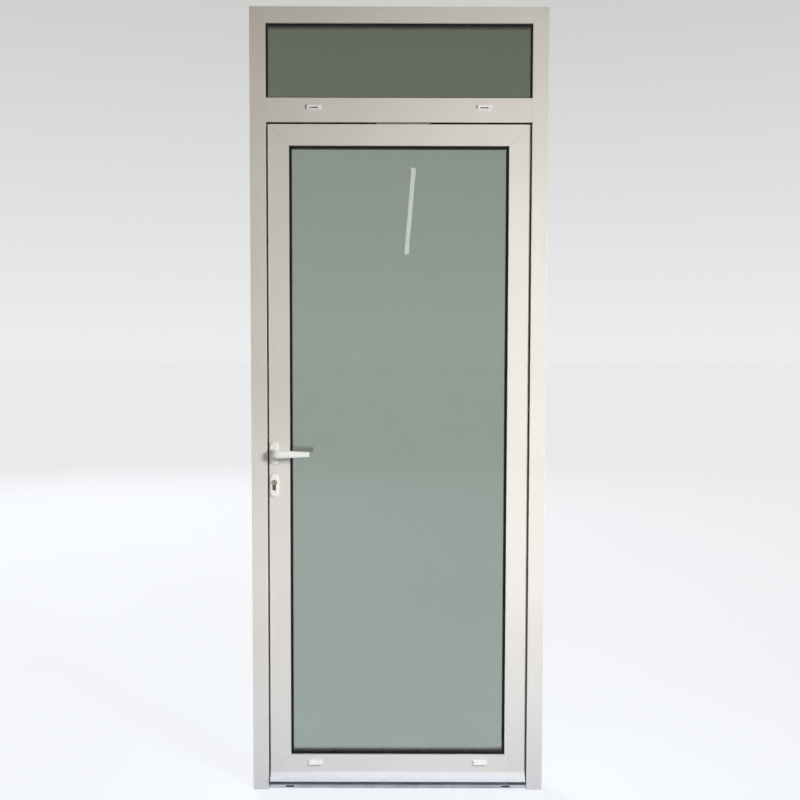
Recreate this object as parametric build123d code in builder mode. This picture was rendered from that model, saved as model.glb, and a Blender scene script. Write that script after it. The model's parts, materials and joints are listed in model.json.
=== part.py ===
from build123d import *
import os

os.makedirs("parts", exist_ok=True)

# Millimetres. X runs across the door, Y from outside to inside, Z up from the floor.
# Sections are drawn as (distance in from an outer edge, depth in from the frame's outside face).
frame_width = 900.0
frame_height = 2400.0
frame_depth = 70.0
frame_face = 48.0
frame_outer_shell = 24.0
frame_inner_shell = 26.0
transom_face = 72.0
toplight_height = 221.0
threshold_height = 20.0
threshold_nose = 11.0
threshold_slope = 14.0
threshold_setback = 10.0

# Extruded walls, glazing lips and the play that cuts and joints have
wall = 2.0
lip_width = 20.0
lip_depth = 8.0
rib_width = 2.5
groove_width = 4.0
edge_radius = 1.2
joint_play = 0.2
seal_play = 0.3
overrun = 60.0

# Leaf
leaf_side_gap = 4.0
leaf_top_gap = 4.0
leaf_bottom = 42.0
leaf_recess = 12.0
leaf_depth = 66.0
leaf_face = 64.0
leaf_outer_shell = 20.0
leaf_inner_shell = 28.0
leaf_flange = 19.0
overlap_lip = 13.0
overlap_lip_depth = 5.0

# Glazing, the same double unit in the leaf and in the top light
pane = 4.0
cavity = 16.0
gasket = 4.0
glass_edge_gap = 5.0
leaf_gasket_proud = 6.0
toplight_gasket_proud = 4.0
gasket_slope = 2.5
spacer_width = 8.0
setting_block_length = 90.0
setting_block_inset = 110.0
bead_wall = 1.5

# Seals of the leaf
stop_gasket_depth = 7.7
stop_gasket_foot = 4.0
stop_gasket_reach = 16.0
stop_gasket_tongue = 3.5
stop_gasket_break = 166.0
stop_gasket_break_x = 14.0
overlap_gasket_width = 6.0
overlap_gasket_inset = 1.0
brush_width = 7.0

# Corner cleats, transom connectors and threshold end blocks
cleat_arm = 95.0
cleat_thickness = 11.0
connector_length = 60.0
end_block_length = 35.0

# Weather bar on the bottom rail
bar_end_gap = 1.0
bar_rise = 10.0
bar_fall = 11.0
bar_nose = 12.0
bar_projection = 22.0
bar_back_drop = 6.0
bar_end_cap = 1.5

# Drain caps and the slots behind them
drain_inset = 141.0
transom_cap_rise = 44.0
leaf_cap_rise = 40.0
cap_width = 45.0
cap_height = 16.0
cap_depth = 8.0
cap_corner = 5.0
cap_taper = 16.0
cap_round = 1.0
cap_wall = 2.0
mouth_height = 3.5
slot_width = 26.0
slot_height = 5.0
slot_drop = 2.0
tongue_thickness = 1.4
tongue_reach = 6.0
threshold_slot_inset = 84.0
threshold_slot_z = 6.0

# Lock, latch and cylinder
backset = 35.0
lock_setback = 10.0
handle_z = 1056.0
cylinder_drop = 92.0
case_thickness = 14.0
case_wall = 1.5
case_back = 55.0
case_below = 49.0
case_above = 50.0
plate_width = 17.0
plate_thickness = 2.0
plate_margin = 20.0
bolt_thickness = 10.0
bolt_play = 0.4
latch_height = 26.0
latch_throw = 11.0
latch_body = 10.0
latch_bevel = 7.0
tail_thickness = 2.0
tail_height = 5.5
hook_width = 4.5
dead_bolt_rise = 18.0
dead_bolt_height = 30.0
dead_bolt_length = 45.0
hub_radius = 10.0
journal_radius = 9.0
nose_radius = 16.0
nose_width = 5.0
nose_play = 0.5
spindle_size = 8.0
spindle_grip = 24.0
strike_width = 18.0
strike_thickness = 2.0
strike_margin = 44.0
strike_play = 1.0

# Euro-profile cylinder
barrel_radius = 8.5
cylinder_height = 33.0
tail_width = 10.0
cylinder_outer_half = 55.0
cylinder_inner_half = 30.0
cylinder_play = 0.4
plug_radius = 6.45
plug_play = 0.05
cam_gap = 10.0
cam_play = 0.3
cam_radius = 15.0
cam_width = 7.0
bridge_height = 9.0
keyway_width = 2.2
keyway_height = 8.0
keyway_depth = 28.0
inner_keyway_depth = 18.0
screw_radius = 2.5
screw_head_radius = 4.4
screw_head = 1.6
screw_play = 0.2
thread_play = 0.05

# Lever handles, roses and escutcheons
rose_width = 28.0
rose_height = 72.0
rose_depth = 8.0
rose_bevel = 3.0
rose_wall = 2.0
escutcheon_drop = 8.0
collar_radius = 10.0
collar_play = 0.3
collar_depth = 6.0
neck_radius = 8.5
neck_height = 12.5
lever_projection = 50.0
lever_bend = 17.0
lever_shoulder = 20.0
lever_length = 112.0
lever_tip_radius = 5.0
lever_tip_height = 8.0
handle_bore_play = 1.5

# Hinges
lower_hinge_rise = 208.0
middle_hinge_share = 0.576
upper_hinge_drop = 225.0
hinge_side = 17.0
knuckle_radius = 8.0
knuckle_gap = 0.5
knuckle_height = 30.0
knuckle_lift = 1.0
pin_radius = 5.0
pin_play = 0.05
pin_head = 3.0
wing_thickness = 3.0
frame_wing_edge = 1.0
leaf_wing_width = 40.0
wing_screw_radius = 2.6
wing_screw_spread = 34.0

# Wall fixings through the jambs
fixing_radius = 5.5
fixing_rise = 200.0
fixing_drop = 109.0
middle_fixing_shares = (0.34, 0.68)

# Places that follow from the sizes above
front = -frame_depth / 2
half_width = frame_width / 2
tube = frame_face - lip_width
frame_inner_start = frame_depth - frame_inner_shell
lip_half = half_width - frame_face
base_half = half_width - tube
head_lip_z = frame_height - frame_face
transom_top = head_lip_z - toplight_height
transom_underside = transom_top - transom_face
threshold_web = (2 * threshold_setback + threshold_slope + frame_depth) / 3

leaf_half = lip_half - leaf_side_gap
leaf_top = transom_underside - leaf_top_gap
leaf_back = leaf_recess + leaf_depth
leaf_inner_start = leaf_back - leaf_inner_shell
leaf_edge = leaf_flange + overlap_lip
leaf_sight = leaf_edge + leaf_face
leaf_base = leaf_sight - lip_width
flange_bottom = leaf_bottom - leaf_flange
flange_half = leaf_half + leaf_flange

frame_box = (-half_width, half_width, 0, frame_height)
toplight_sight = (-lip_half, lip_half, transom_top, head_lip_z)
leaf_box = (
    -leaf_half - leaf_edge,
    leaf_half + leaf_edge,
    leaf_bottom - leaf_edge,
    leaf_top + leaf_edge,
)
leaf_day = (
    -leaf_half + leaf_face,
    leaf_half - leaf_face,
    leaf_bottom + leaf_face,
    leaf_top - leaf_face,
)
sides = ("left", "top", "right", "bottom")

lock_x = -flange_half + backset
lock_depth = leaf_inner_start + lock_setback
cylinder_z = handle_z - cylinder_drop
case_bottom = cylinder_z - case_below
case_top = handle_z + case_above
plate_bottom = case_bottom - plate_margin
plate_top = case_top + plate_margin
dead_bolt_bottom = cylinder_z + dead_bolt_rise
dead_bolt_top = dead_bolt_bottom + dead_bolt_height
latch_bottom = handle_z - latch_height / 2
latch_top = handle_z + latch_height / 2
strike_bottom = dead_bolt_bottom - strike_margin
strike_top = latch_top + strike_margin
hinge_x = half_width - hinge_side
hinge_depth = leaf_back + knuckle_radius + knuckle_lift
barrel_height = 3 * knuckle_height
lower_hinge = leaf_bottom + lower_hinge_rise
upper_hinge = leaf_top - upper_hinge_drop
hinge_heights = {
    "lower": lower_hinge,
    "middle": lower_hinge + middle_hinge_share * (upper_hinge - lower_hinge),
    "upper": upper_hinge,
}
frame_screw_x = (hinge_x + knuckle_radius + half_width - frame_wing_edge) / 2
leaf_screw_x = hinge_x - knuckle_radius - leaf_wing_width / 2

top_fixing = transom_underside - fixing_drop
middle_fixings = [fixing_rise + share * (top_fixing - fixing_rise) for share in middle_fixing_shares]
fixing_heights = (fixing_rise, *middle_fixings, top_fixing)

gasket_seat = 2 * rib_width + groove_width
spacer_reach = spacer_width + lip_width - glass_edge_gap - gasket_seat
drain_x = leaf_half - drain_inset
transom_cap_z = transom_underside + transom_cap_rise
leaf_cap_z = leaf_bottom + leaf_cap_rise
threshold_slot_x = base_half - threshold_slot_inset


def grow(box, amount):
    left, right, bottom, top = box
    return (left - amount, right + amount, bottom - amount, top + amount)


def facing(depth):
    # A plane parallel to the door, seen from outside, at a depth behind the frame's outside face
    return Plane((0, front + depth, 0), x_dir=(1, 0, 0), z_dir=(0, -1, 0))


def run_plane(side, box):
    # The section plane at the start of one side, which the runs follow clockwise seen from outside
    left, right, bottom, top = box
    places = {
        "left": ((left, front, bottom), (1, 0, 0), (0, 0, 1)),
        "top": ((left, front, top), (0, 0, -1), (1, 0, 0)),
        "right": ((right, front, top), (-1, 0, 0), (0, 0, -1)),
        "bottom": ((right, front, bottom), (0, 0, 1), (-1, 0, 0)),
    }
    origin, inward, along = places[side]
    return Plane(origin, x_dir=inward, z_dir=along)


def run_length(side, box):
    left, right, bottom, top = box
    return top - bottom if side in ("left", "right") else right - left


def block(start, end, near, far, mode=Mode.ADD):
    # One rectangle of a section, by its edges
    with Locations(((start + end) / 2, (near + far) / 2)):
        Rectangle(end - start, far - near, mode=mode)


def tube_section(start, end, near, far, thickness):
    block(start, end, near, far)
    block(start + thickness, end - thickness, near + thickness, far - thickness, Mode.SUBTRACT)


def glazing_lip(tip, base, near):
    # A thin lip with two ribs at its tip, which hold the foot of a gasket between them
    inward = 1 if base > tip else -1
    block(min(tip, base), max(tip, base), near, near + wall)
    for offset in (0, rib_width + groove_width):
        rib = (tip + inward * offset, tip + inward * (offset + rib_width))
        block(min(rib), max(rib), near, near + lip_depth)


def run(side, box, draw, mitred=(True, True), rounded=False):
    # One straight length of a section along a side of a box, with mitred or square ends
    plane = run_plane(side, box)
    length = run_length(side, box)
    with BuildPart() as bar:
        with BuildSketch(plane.offset(-overrun)) as section:
            draw()
            if rounded:
                fillet(section.vertices().group_by(Axis.Y)[0], radius=edge_radius)
        extrude(amount=length + 2 * overrun)
        ends = ((plane.origin, plane.z_dir, mitred[0]),
                (plane.origin + plane.z_dir * length, plane.z_dir * -1, mitred[1]))
        for origin, along, is_mitre in ends:
            normal = along - plane.x_dir if is_mitre else along
            split(bisect_by=Plane(origin, x_dir=plane.y_dir, z_dir=normal), keep=Keep.TOP)
    return bar.part


def save(part, name):
    part.label = name
    export_step(part, f"parts/{name}.step")


def save_group(pieces, name):
    save(Compound(children=list(pieces)), name)


# Outer frame: jambs, head, transom and threshold
def frame_section():
    tube_section(0, tube, 0, frame_outer_shell, wall)
    tube_section(0, tube, frame_inner_start, frame_depth, wall)
    glazing_lip(frame_face, tube, 0)


def frame_strip_section():
    block(wall, 2 * wall, frame_outer_shell, frame_inner_start)
    block(tube - wall, tube, frame_outer_shell, frame_inner_start)


def transom_section():
    upper = transom_face - lip_width
    tube_section(lip_width, upper, 0, frame_outer_shell, wall)
    tube_section(lip_width, upper, frame_inner_start, frame_depth, wall)
    glazing_lip(0, lip_width, 0)
    glazing_lip(transom_face, upper, 0)


def transom_strip_section():
    for start in (lip_width, transom_face - lip_width - wall):
        block(start, start + wall, frame_outer_shell, frame_inner_start)


def threshold_section():
    near = threshold_setback
    slope_end = near + threshold_slope
    inside = threshold_height - wall
    Polygon(
        (0, near),
        (threshold_nose, near),
        (threshold_height, slope_end),
        (threshold_height, frame_depth),
        (0, frame_depth),
        align=None,
    )
    Polygon(
        (wall, near + wall),
        (threshold_nose - wall / 2, near + wall),
        (inside, slope_end + wall / 2),
        (inside, threshold_web),
        (wall, threshold_web),
        align=None,
        mode=Mode.SUBTRACT,
    )
    block(wall, inside, threshold_web + wall, frame_depth - wall, Mode.SUBTRACT)


def box_cut(x0, x1, depth0, depth1, z0, z1):
    # A cutting block by its faces, made apart from any builder
    size = Box(x1 - x0, depth1 - depth0, z1 - z0, mode=Mode.PRIVATE)
    centre = ((x0 + x1) / 2, front + (depth0 + depth1) / 2, (z0 + z1) / 2)
    return Pos(*centre) * size


fixing_depth = (frame_inner_start + frame_depth) / 2
bolt_near = lock_depth - bolt_thickness / 2
bolt_far = lock_depth + bolt_thickness / 2
bolt_spans = ((latch_bottom, latch_top), (dead_bolt_bottom, dead_bolt_top))

jamb_holes = Plane((-half_width, front + fixing_depth, 0), x_dir=(0, 1, 0), z_dir=(1, 0, 0))

with BuildPart() as lock_jamb:
    add(run("left", frame_box, frame_section, mitred=(False, True), rounded=True))
    with BuildSketch(jamb_holes):
        with Locations([(0, height) for height in fixing_heights]):
            Circle(fixing_radius)
    extrude(amount=tube, mode=Mode.SUBTRACT)
    for bottom, top in bolt_spans:
        add(
            box_cut(
                -base_half - wall, -base_half,
                bolt_near - strike_play, bolt_far + strike_play,
                bottom - strike_play, top + strike_play,
            ),
            mode=Mode.SUBTRACT,
        )

with BuildPart() as hinge_jamb:
    add(run("right", frame_box, frame_section, mitred=(True, False), rounded=True))
    with BuildSketch(jamb_holes.offset(frame_width - tube)):
        with Locations([(0, height) for height in fixing_heights]):
            Circle(fixing_radius)
    extrude(amount=tube, mode=Mode.SUBTRACT)
    with BuildSketch(facing(frame_depth)):
        for height in hinge_heights.values():
            for lift in (-wing_screw_spread, wing_screw_spread):
                with Locations((frame_screw_x, height + lift)):
                    Circle(wing_screw_radius)
    extrude(amount=wall, mode=Mode.SUBTRACT)

head = run("top", frame_box, frame_section, rounded=True)

transom_box = (-base_half, base_half, transom_underside, transom_top)
with BuildPart() as transom:
    add(run("bottom", transom_box, transom_section, mitred=(False, False), rounded=True))
    for edge in (-base_half, lip_half):
        notch = box_cut(
            edge, edge + lip_width, -overrun, lip_depth, transom_underside - overrun, transom_top + overrun
        )
        add(notch, mode=Mode.SUBTRACT)
    with BuildSketch(facing(0)):
        with Locations((-drain_x, transom_cap_z - slot_drop), (drain_x, transom_cap_z - slot_drop)):
            Rectangle(slot_width, slot_height)
    extrude(amount=-wall, mode=Mode.SUBTRACT)

threshold_box = (-base_half, base_half, 0, threshold_height)
with BuildPart() as threshold:
    add(run("bottom", threshold_box, threshold_section, mitred=(False, False)))
    with BuildSketch(facing(threshold_setback)):
        with Locations((-threshold_slot_x, threshold_slot_z), (threshold_slot_x, threshold_slot_z)):
            SlotOverall(slot_width, slot_height)
    extrude(amount=-wall, mode=Mode.SUBTRACT)

save(lock_jamb.part, "lock_jamb")
save(hinge_jamb.part, "hinge_jamb")
save(head, "head")
save(transom.part, "transom")
save(threshold.part, "threshold")

# Insulating strips between the outer and inner shells
frame_strips = [
    run("left", frame_box, frame_strip_section, mitred=(False, True)),
    run("top", frame_box, frame_strip_section),
    run("right", frame_box, frame_strip_section, mitred=(True, False)),
    run("bottom", transom_box, transom_strip_section, mitred=(False, False)),
]
save_group(frame_strips, "frame_thermal_strips")


def corner_cleat(box, corner, offset, near, far):
    # An L bracket that lies along the outer walls of the chambers at one corner
    left, right, bottom, top = box
    x, step_x = (left + offset, 1) if "left" in corner else (right - offset, -1)
    z, step_z = (bottom + offset, 1) if "bottom" in corner else (top - offset, -1)
    with BuildPart() as cleat:
        with BuildSketch(facing(near)):
            with BuildLine():
                Polyline(
                    (x, z),
                    (x + step_x * cleat_arm, z),
                    (x + step_x * cleat_arm, z + step_z * cleat_thickness),
                    (x + step_x * cleat_thickness, z + step_z * cleat_thickness),
                    (x + step_x * cleat_thickness, z + step_z * cleat_arm),
                    (x, z + step_z * cleat_arm),
                    close=True,
                )
            make_face()
        extrude(amount=near - far)
    return cleat.part


frame_cleat_near = frame_inner_start + wall + joint_play
frame_cleat_far = frame_depth - wall - joint_play
connector_bottom = transom_underside + lip_width + wall + joint_play
connector_top = transom_top - lip_width - wall - joint_play
save_group(
    [
        corner_cleat(frame_box, corner, wall + joint_play, frame_cleat_near, frame_cleat_far)
        for corner in ("top left", "top right")
    ],
    "head_corner_cleats",
)
save_group(
    [
        box_cut(
            min(end, end + reach), max(end, end + reach),
            frame_cleat_near, frame_cleat_far, connector_bottom, connector_top,
        )
        for end, reach in ((-base_half, connector_length), (base_half, -connector_length))
    ],
    "transom_connectors",
)
end_block_near = threshold_web + wall + joint_play
save_group(
    [
        box_cut(
            min(end, end + reach), max(end, end + reach),
            end_block_near, frame_depth - wall - joint_play,
            wall + joint_play, threshold_height - wall - joint_play,
        )
        for end, reach in ((-base_half, end_block_length), (base_half, -end_block_length))
    ],
    "threshold_end_blocks",
)


# Glazing of one light: gaskets, two panes, spacer, beads and setting blocks
def gasket_section(near, proud, from_outside):
    # A strip behind the lip's ribs with a wedge that shows beside the lip
    far = near + gasket
    lip_side, glass_side = (near, far) if from_outside else (far, near)
    slope = gasket_slope if from_outside else -gasket_slope
    Polygon(
        (-gasket_seat, lip_side),
        (0, lip_side),
        (proud, lip_side + slope),
        (proud, glass_side),
        (-gasket_seat, glass_side),
        align=None,
    )


def gasket_foot_section(near):
    block(-rib_width - groove_width, -rib_width, near - lip_depth / 2, near)


def gasket_ring(sight, near, proud, from_outside):
    with BuildPart() as ring:
        for side in sides:
            add(run(side, sight, lambda: gasket_section(near, proud, from_outside)))
            if from_outside:
                add(run(side, sight, lambda: gasket_foot_section(near), mitred=(False, False)))
    return ring.part


def pane_plate(sight, near):
    left, right, bottom, top = grow(sight, lip_width - glass_edge_gap)
    with BuildPart() as plate:
        with BuildSketch(facing(near)):
            with Locations(((left + right) / 2, (bottom + top) / 2)):
                Rectangle(right - left, top - bottom)
        extrude(amount=-pane)
    return plate.part


def spacer_ring(sight, near):
    left, right, bottom, top = grow(sight, lip_width - glass_edge_gap)
    width, height = right - left, top - bottom
    with BuildPart() as ring:
        with BuildSketch(facing(near)):
            with Locations(((left + right) / 2, (bottom + top) / 2)):
                Rectangle(width, height)
                Rectangle(width - 2 * spacer_reach, height - 2 * spacer_reach, mode=Mode.SUBTRACT)
        extrude(amount=-cavity)
    return ring.part


def glazing_beads(sight, near, far):
    # Level beads run the full width and the upright ones stand between them
    base = grow(sight, lip_width)
    left, right, bottom, top = base
    upright = (left, right, bottom + lip_width + joint_play, top - lip_width - joint_play)
    beads = []
    for side in sides:
        box = upright if side in ("left", "right") else base
        bead = run(
            side, box, lambda: tube_section(0, lip_width, near, far, bead_wall), mitred=(False, False)
        )
        beads.append(bead)
    return beads


def setting_blocks(sight, near, upright_places):
    left, right, bottom, top = grow(sight, lip_width)
    far = near + 2 * pane + cavity
    blocks = []
    for x in (left + setting_block_inset, right - setting_block_inset):
        half = setting_block_length / 2
        blocks.append(box_cut(x - half, x + half, near, far, bottom, bottom + glass_edge_gap))
    for x, z in upright_places:
        blocks.append(box_cut(x, x + glass_edge_gap, near, far, z, z + setting_block_length))
    return blocks


def glaze(prefix, sight, near, back, proud, upright_places):
    outer_pane = near + gasket
    inner_pane = outer_pane + pane + cavity
    inner_gasket = inner_pane + pane
    bead_near = inner_gasket + gasket
    save(gasket_ring(sight, near, proud, True), f"{prefix}_outer_gasket")
    save(pane_plate(sight, outer_pane), f"{prefix}_outer_pane")
    save(spacer_ring(sight, outer_pane + pane), f"{prefix}_spacer")
    save(pane_plate(sight, inner_pane), f"{prefix}_inner_pane")
    save(gasket_ring(sight, inner_gasket, proud, False), f"{prefix}_inner_gasket")
    save_group(glazing_beads(sight, bead_near, back), f"{prefix}_beads")
    save_group(setting_blocks(sight, outer_pane, upright_places), f"{prefix}_setting_blocks")


leaf_base_box = grow(leaf_day, lip_width)
leaf_upright_blocks = (
    (leaf_base_box[1] - glass_edge_gap, leaf_base_box[2] + setting_block_inset),
    (leaf_base_box[0], leaf_base_box[3] - setting_block_inset - setting_block_length),
)
glaze("toplight", toplight_sight, lip_depth, frame_depth, toplight_gasket_proud, ())
glaze("leaf", leaf_day, leaf_recess + lip_depth, leaf_back, leaf_gasket_proud, leaf_upright_blocks)


# Drain caps: a moulded hood held by a tongue in the slot behind it, its mouth in front or below
def drain_cap(x, z, face, mouth_reach, mouth_drop):
    slot_top = z - slot_drop + slot_height / 2
    ceiling = slot_top - joint_play - tongue_thickness
    with BuildPart() as cap:
        with BuildSketch(facing(face)):
            with Locations((x, z)):
                RectangleRounded(cap_width, cap_height, cap_corner)
        extrude(amount=cap_depth, taper=cap_taper)
        fillet(cap.faces().sort_by(Axis.Y)[0].edges(), radius=cap_round)
        outlet = slot_width - 2 * joint_play
        mouth = box_cut(
            x - outlet / 2, x + outlet / 2, face - mouth_reach, face, ceiling - mouth_drop, ceiling
        )
        add(mouth, mode=Mode.SUBTRACT)
        tongue = box_cut(
            x - outlet / 2, x + outlet / 2, face, face + tongue_reach, ceiling, slot_top - joint_play
        )
        add(tongue)
    return cap.part


save_group(
    [drain_cap(x, transom_cap_z, 0, overrun, mouth_height) for x in (-drain_x, drain_x)],
    "transom_drain_caps",
)
hood_depth = cap_depth - cap_wall
save_group(
    [drain_cap(x, leaf_cap_z, leaf_recess, hood_depth, cap_height) for x in (-drain_x, drain_x)],
    "leaf_drain_caps",
)


# Stop gasket on the rebate of the jambs and the transom, with a vent left in its top run
def stop_gasket_section():
    far = leaf_inner_start - seal_play
    block(0, stop_gasket_foot, far - stop_gasket_depth, far)
    block(stop_gasket_foot, stop_gasket_reach, far - stop_gasket_tongue, far)


stop_box = (-base_half, base_half, threshold_height, transom_underside + lip_width)
with BuildPart() as stop_gasket:
    add(run("left", stop_box, stop_gasket_section, mitred=(False, True)))
    add(run("top", stop_box, stop_gasket_section))
    add(run("right", stop_box, stop_gasket_section, mitred=(True, False)))
    vent = box_cut(
        stop_gasket_break_x - stop_gasket_break / 2,
        stop_gasket_break_x + stop_gasket_break / 2,
        0, frame_depth,
        transom_underside - lip_width, transom_top,
    )
    add(vent, mode=Mode.SUBTRACT)
save(stop_gasket.part, "frame_stop_gasket")


# Leaf: four mitred bars with an overlap lip inside
def leaf_section():
    tube_section(leaf_edge, leaf_base, leaf_recess, leaf_recess + leaf_outer_shell, wall)
    glazing_lip(leaf_sight, leaf_base, leaf_recess)
    tube_section(overlap_lip, leaf_base, leaf_inner_start, leaf_back, wall)
    block(0, overlap_lip, leaf_back - overlap_lip_depth, leaf_back)


def strip_ring(start):
    # A closed insulating band round the leaf, at a distance in from its outermost edge
    with BuildPart() as band:
        with BuildSketch(facing(leaf_recess + leaf_outer_shell)):
            block(*grow(leaf_box, -start))
            block(*grow(leaf_box, -start - wall), Mode.SUBTRACT)
        extrude(amount=leaf_recess + leaf_outer_shell - leaf_inner_start)
    return band.part


def above_flange(part):
    # The bottom bar and the feet of the stiles have no overlap lip below the flange
    with BuildPart() as trimmed:
        add(part)
        split(bisect_by=Plane.XY.offset(flange_bottom), keep=Keep.TOP)
    return trimmed.part


def profile_outline(grown):
    # The cylinder's section: a round barrel over a narrow tail, centred on the plug
    with Locations((lock_x, cylinder_z)):
        Circle(barrel_radius + grown)
    tail_bottom = cylinder_z + barrel_radius - cylinder_height - grown
    half = tail_width / 2 + grown
    with Locations((lock_x, tail_bottom + half)):
        Circle(half)
    block(lock_x - half, lock_x + half, tail_bottom + half, cylinder_z)


spindle_hole = collar_radius + handle_bore_play
with BuildPart() as lock_stile:
    add(above_flange(run("left", leaf_box, leaf_section, rounded=True)))
    plate_slot = box_cut(
        -flange_half, -flange_half + wall,
        lock_depth - plate_width / 2 - joint_play, lock_depth + plate_width / 2 + joint_play,
        plate_bottom - joint_play, plate_top + joint_play,
    )
    add(plate_slot, mode=Mode.SUBTRACT)
    with BuildSketch(facing(leaf_recess)):
        with Locations((lock_x, handle_z)):
            Circle(spindle_hole)
        profile_outline(cylinder_play)
    extrude(amount=-leaf_depth, mode=Mode.SUBTRACT)

with BuildPart() as hinge_stile:
    add(above_flange(run("right", leaf_box, leaf_section, rounded=True)))
    with BuildSketch(facing(leaf_back)):
        for height in hinge_heights.values():
            for lift in (-wing_screw_spread, wing_screw_spread):
                with Locations((leaf_screw_x, height + lift)):
                    Circle(wing_screw_radius)
    extrude(amount=wall, mode=Mode.SUBTRACT)

save(lock_stile.part, "lock_stile")
save(hinge_stile.part, "hinge_stile")
save(run("top", leaf_box, leaf_section, rounded=True), "top_rail")

with BuildPart() as bottom_rail:
    add(above_flange(run("bottom", leaf_box, leaf_section, rounded=True)))
    with BuildSketch(facing(leaf_recess)):
        with Locations((-drain_x, leaf_cap_z - slot_drop), (drain_x, leaf_cap_z - slot_drop)):
            Rectangle(slot_width, slot_height)
    extrude(amount=-wall, mode=Mode.SUBTRACT)
save(bottom_rail.part, "bottom_rail")

save_group([strip_ring(start) for start in (leaf_edge + wall, leaf_base - wall)], "leaf_thermal_strips")
leaf_corners = ("top left", "top right", "bottom left", "bottom right")
save_group(
    [
        corner_cleat(
            leaf_box,
            corner,
            overlap_lip + wall + joint_play,
            leaf_inner_start + wall + joint_play,
            leaf_back - wall - joint_play,
        )
        for corner in leaf_corners
    ],
    "leaf_corner_cleats",
)


# Seal on the overlap lip and brush under the bottom rail
def overlap_gasket_section():
    end = overlap_gasket_inset + overlap_gasket_width
    block(overlap_gasket_inset, end, frame_depth + seal_play, leaf_back - overlap_lip_depth)


with BuildPart() as overlap_gasket:
    for side in ("left", "top", "right"):
        add(above_flange(run(side, leaf_box, overlap_gasket_section)))
save(overlap_gasket.part, "leaf_overlap_gasket")

brush_near = lock_depth - brush_width / 2
brush = box_cut(
    -flange_half, flange_half, brush_near, brush_near + brush_width,
    threshold_height + seal_play, flange_bottom,
)
save(brush, "bottom_brush_seal")

# Weather bar: a thin drip profile on the bottom rail, closed at both ends
bar_half_length = leaf_half - bar_end_gap
bar_top = leaf_bottom + bar_rise
bar_nose_top = bar_top - bar_fall
bar_bottom = bar_nose_top - bar_nose
bar_back_bottom = leaf_bottom - bar_back_drop
bar_out = leaf_recess - bar_projection
bar_plane = Plane((-bar_half_length, front, 0), x_dir=(0, 1, 0), z_dir=(1, 0, 0))
with BuildPart() as weather_bar:
    with BuildSketch(bar_plane.offset(bar_end_cap)):
        with BuildLine():
            Polyline(
                (leaf_recess, bar_top),
                (bar_out, bar_nose_top),
                (bar_out, bar_bottom),
                (bar_out + wall, bar_bottom),
                (bar_out + wall, bar_nose_top - wall / 2),
                (leaf_recess - wall, bar_top - 2 * wall),
                (leaf_recess - wall, bar_back_bottom),
                (leaf_recess, bar_back_bottom),
                close=True,
            )
        make_face()
    extrude(amount=2 * (bar_half_length - bar_end_cap))
save(weather_bar.part, "weather_bar")

bar_caps = []
for offset in (0, 2 * bar_half_length - bar_end_cap):
    with BuildPart() as bar_cap:
        with BuildSketch(bar_plane.offset(offset)):
            with BuildLine():
                Polyline(
                    (leaf_recess, bar_top),
                    (bar_out, bar_nose_top),
                    (bar_out, bar_bottom),
                    (leaf_recess, bar_back_bottom),
                    close=True,
                )
            make_face()
        extrude(amount=bar_end_cap)
    bar_caps.append(bar_cap.part)
save_group(bar_caps, "weather_bar_end_caps")

# Lock: faceplate, open-fronted case, follower, latch bolt and dead bolt
plate_near = lock_depth - plate_width / 2
screw_z = cylinder_z + barrel_radius - cylinder_height + bridge_height / 2
screw_plane = Plane((-flange_half, front + lock_depth, screw_z), x_dir=(0, 1, 0), z_dir=(1, 0, 0))
with BuildPart() as faceplate:
    plate = box_cut(
        -flange_half,
        -flange_half + plate_thickness,
        plate_near,
        plate_near + plate_width,
        plate_bottom,
        plate_top,
    )
    add(plate)
    for bottom, top in bolt_spans:
        window = box_cut(
            -flange_half - overrun, -flange_half + overrun,
            bolt_near - bolt_play, bolt_far + bolt_play,
            bottom - bolt_play, top + bolt_play,
        )
        add(window, mode=Mode.SUBTRACT)
    with BuildSketch(screw_plane):
        Circle(screw_radius + screw_play)
    extrude(amount=plate_thickness, mode=Mode.SUBTRACT)
    with BuildSketch(screw_plane):
        Circle(screw_head_radius + screw_play)
    extrude(amount=screw_head, mode=Mode.SUBTRACT)
save(faceplate.part, "lock_faceplate")

case_front = -flange_half + plate_thickness
case_near = lock_depth - case_thickness / 2
case_far = lock_depth + case_thickness / 2
with BuildPart() as lock_case:
    add(box_cut(case_front, case_front + case_back, case_near, case_far, case_bottom, case_top))
    room = box_cut(
        case_front - overrun, case_front + case_back - case_wall,
        case_near + case_wall, case_far - case_wall,
        case_bottom + case_wall, case_top - case_wall,
    )
    add(room, mode=Mode.SUBTRACT)
    with BuildSketch(facing(case_near)):
        with Locations((lock_x, handle_z)):
            Circle(journal_radius + seal_play)
        profile_outline(cylinder_play)
    extrude(amount=-case_thickness, mode=Mode.SUBTRACT)
save(lock_case.part, "lock_case")

# The follower's nose stands up at rest and draws the hook of the latch tail back
tail_near = case_near + case_wall + seal_play
nose_near = tail_near + tail_thickness + seal_play
nose_far = case_far - case_wall - seal_play
with BuildPart() as follower:
    with BuildSketch(facing(nose_near)):
        with Locations((lock_x, handle_z)):
            Circle(hub_radius)
        block(lock_x - nose_width / 2, lock_x + nose_width / 2, handle_z, handle_z + nose_radius)
    extrude(amount=nose_near - nose_far)
    with BuildSketch(facing(case_near)):
        with Locations((lock_x, handle_z)):
            Circle(journal_radius)
    extrude(amount=-case_thickness)
    with BuildSketch(facing(case_near)):
        with Locations((lock_x, handle_z)):
            Rectangle(spindle_size, spindle_size)
    extrude(amount=-case_thickness, mode=Mode.SUBTRACT)
save(follower.part, "lock_follower")

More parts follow.
